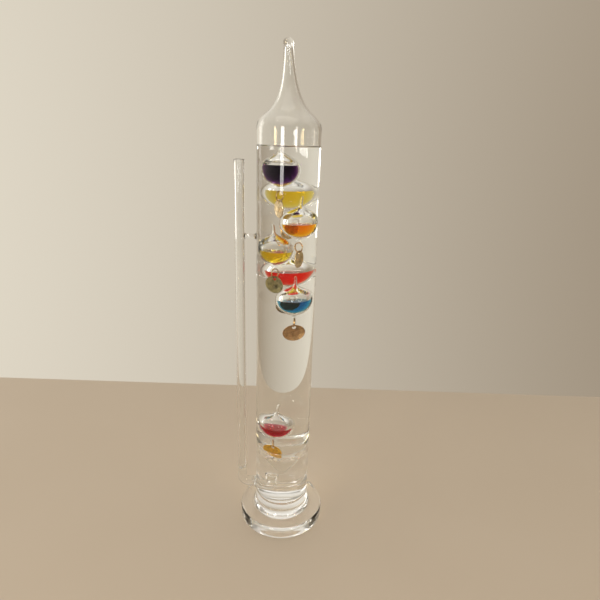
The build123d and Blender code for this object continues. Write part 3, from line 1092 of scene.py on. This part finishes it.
# ------------------------------------------------------------------ stage, lamps and camera
def floor():
    """A plain pale floor."""
    material, tree, out = new_material("pale_floor")
    shader = node(tree, "BsdfPrincipled", Roughness=0.6)
    shader.inputs["Specular IOR Level"].default_value = 0.2
    mottle = noise(tree, 6, 3.0)
    mix = node(tree, "Mix", data_type="RGBA")
    mix.inputs["A"].default_value = (0.50, 0.42, 0.33, 1)
    mix.inputs["B"].default_value = (0.53, 0.45, 0.36, 1)
    tree.links.new(mottle, mix.inputs["Factor"])
    tree.links.new(mix.outputs["Result"], shader.inputs["Base Color"])
    tree.links.new(shader.outputs[0], out.inputs["Surface"])
    mesh = bmesh.new()
    bmesh.ops.create_grid(mesh, x_segments=1, y_segments=1, size=2.0)
    data = bpy.data.meshes.new("floor")
    mesh.to_mesh(data)
    mesh.free()
    data.materials.append(material)
    made = bpy.data.objects.new("floor", data)
    bpy.context.scene.collection.objects.link(made)
    made.location = (0, FLOOR_BACK - 2.0, -0.0003)


def world():
    """Soft warm light from all round: brighter from the left and above, darker from behind the viewer."""
    made = bpy.data.worlds.new("studio")
    bpy.context.scene.world = made
    made.use_nodes = True
    tree = made.node_tree
    tree.nodes.clear()
    out = node(tree, "OutputWorld")
    sky = node(tree, "Background", Strength=1.0)
    place = node(tree, "TexCoord")
    split = node(tree, "SeparateXYZ")
    across = node(tree, "Mix", data_type="RGBA")
    across.inputs["A"].default_value = (0.80, 0.74, 0.62, 1)
    across.inputs["B"].default_value = (0.30, 0.235, 0.165, 1)
    above = node(tree, "Mix", data_type="RGBA")
    above.inputs["B"].default_value = (0.95, 0.90, 0.82, 1)
    tree.links.new(place.outputs["Generated"], split.inputs[0])
    tree.links.new(ramp(tree, split.outputs["X"], 0, 1, -0.75, 0.75), across.inputs["Factor"])
    tree.links.new(across.outputs["Result"], above.inputs["A"])
    tree.links.new(ramp(tree, split.outputs["Z"], 0, 1, 0.25, 1.0), above.inputs["Factor"])
    tree.links.new(above.outputs["Result"], sky.inputs["Color"])
    tree.links.new(ramp(tree, split.outputs["Y"], 0.35, 1.0, -0.8, 0.1), sky.inputs["Strength"])
    tree.links.new(sky.outputs[0], out.inputs["Surface"])


def lamp(name, azimuth, distance, height, width, tall, power, colour, target_z=0.22):
    """A soft rectangular lamp that looks at the object. Azimuth 0 is in front, 90 to the right."""
    light = bpy.data.lights.new(name, "AREA")
    light.shape = "RECTANGLE"
    light.size = width
    light.size_y = tall
    light.energy = power
    light.color = colour
    made = bpy.data.objects.new(name, light)
    a = math.radians(azimuth)
    made.location = (distance * math.sin(a), -distance * math.cos(a), height)
    aim = Vector((0, 0, target_z)) - made.location
    made.rotation_mode = "QUATERNION"
    made.rotation_quaternion = aim.to_track_quat("-Z", "Y")
    bpy.context.scene.collection.objects.link(made)


def lamps():
    """Two tall windows in front, two warm strips beside them, a wash from the left and one from above."""
    lamp("left_window", -20.5, 1.15, 0.44, 0.24, 0.5, 3.8, (1.0, 0.98, 0.95), 0.40)
    lamp("right_window", 28, 1.15, 0.52, 0.10, 0.40, 1.4, (1.0, 0.97, 0.93), 0.46)
    lamp("left_strip", -48, 1.15, 0.47, 0.08, 0.26, 1.3, (1.0, 0.80, 0.45), 0.40)
    lamp("right_strip", 52, 1.15, 0.47, 0.045, 0.26, 0.85, (1.0, 0.78, 0.40), 0.40)
    lamp("left_wash", -118, 1.0, 0.45, 0.30, 0.8, 1.3, (1.0, 0.96, 0.90))
    lamp("overhead", -20, 0.5, 1.5, 1.3, 1.3, 3.5, (1.0, 0.97, 0.93))


def camera():
    """A phone's view from in front, a little above the shoulder's height."""
    pitch, yaw, roll = math.radians(18.83), math.radians(-0.07), math.radians(1.845)
    forward = Vector(
        (math.sin(yaw) * math.cos(pitch), math.cos(yaw) * math.cos(pitch), -math.sin(pitch))
    )
    right = Vector((math.cos(yaw), -math.sin(yaw), 0))
    up = right.cross(forward)
    right_rolled = right * math.cos(roll) + up * math.sin(roll)
    up_rolled = up * math.cos(roll) - right * math.sin(roll)
    data = bpy.data.cameras.new("camera")
    data.sensor_width = 36.0
    data.lens = 27.92
    data.clip_start = 0.01
    data.clip_end = 50
    made = bpy.data.objects.new("camera", data)
    turn = Matrix((right_rolled, up_rolled, -forward)).transposed().to_4x4()
    made.matrix_world = Matrix.Translation((0.01284, -0.37835, 0.35149)) @ turn
    bpy.context.scene.collection.objects.link(made)
    bpy.context.scene.camera = made


def render_depth():
    """Enough bounces for light to cross the nested glass, oil and dye, and plain colours."""
    scene = bpy.context.scene
    scene.cycles.max_bounces = 40
    scene.cycles.transmission_bounces = 40
    scene.cycles.glossy_bounces = 10
    scene.cycles.transparent_max_bounces = 64
    scene.cycles.use_denoising = True
    scene.view_settings.view_transform = "Standard"


foot()
column()
funnel()
oil()
water()
tube()
tie()
for vial in VIALS:
    vial_glass(vial)
    vial_dye(vial)
    ring(vial)
    tag(vial)
floor()
world()
lamps()
camera()
render_depth()
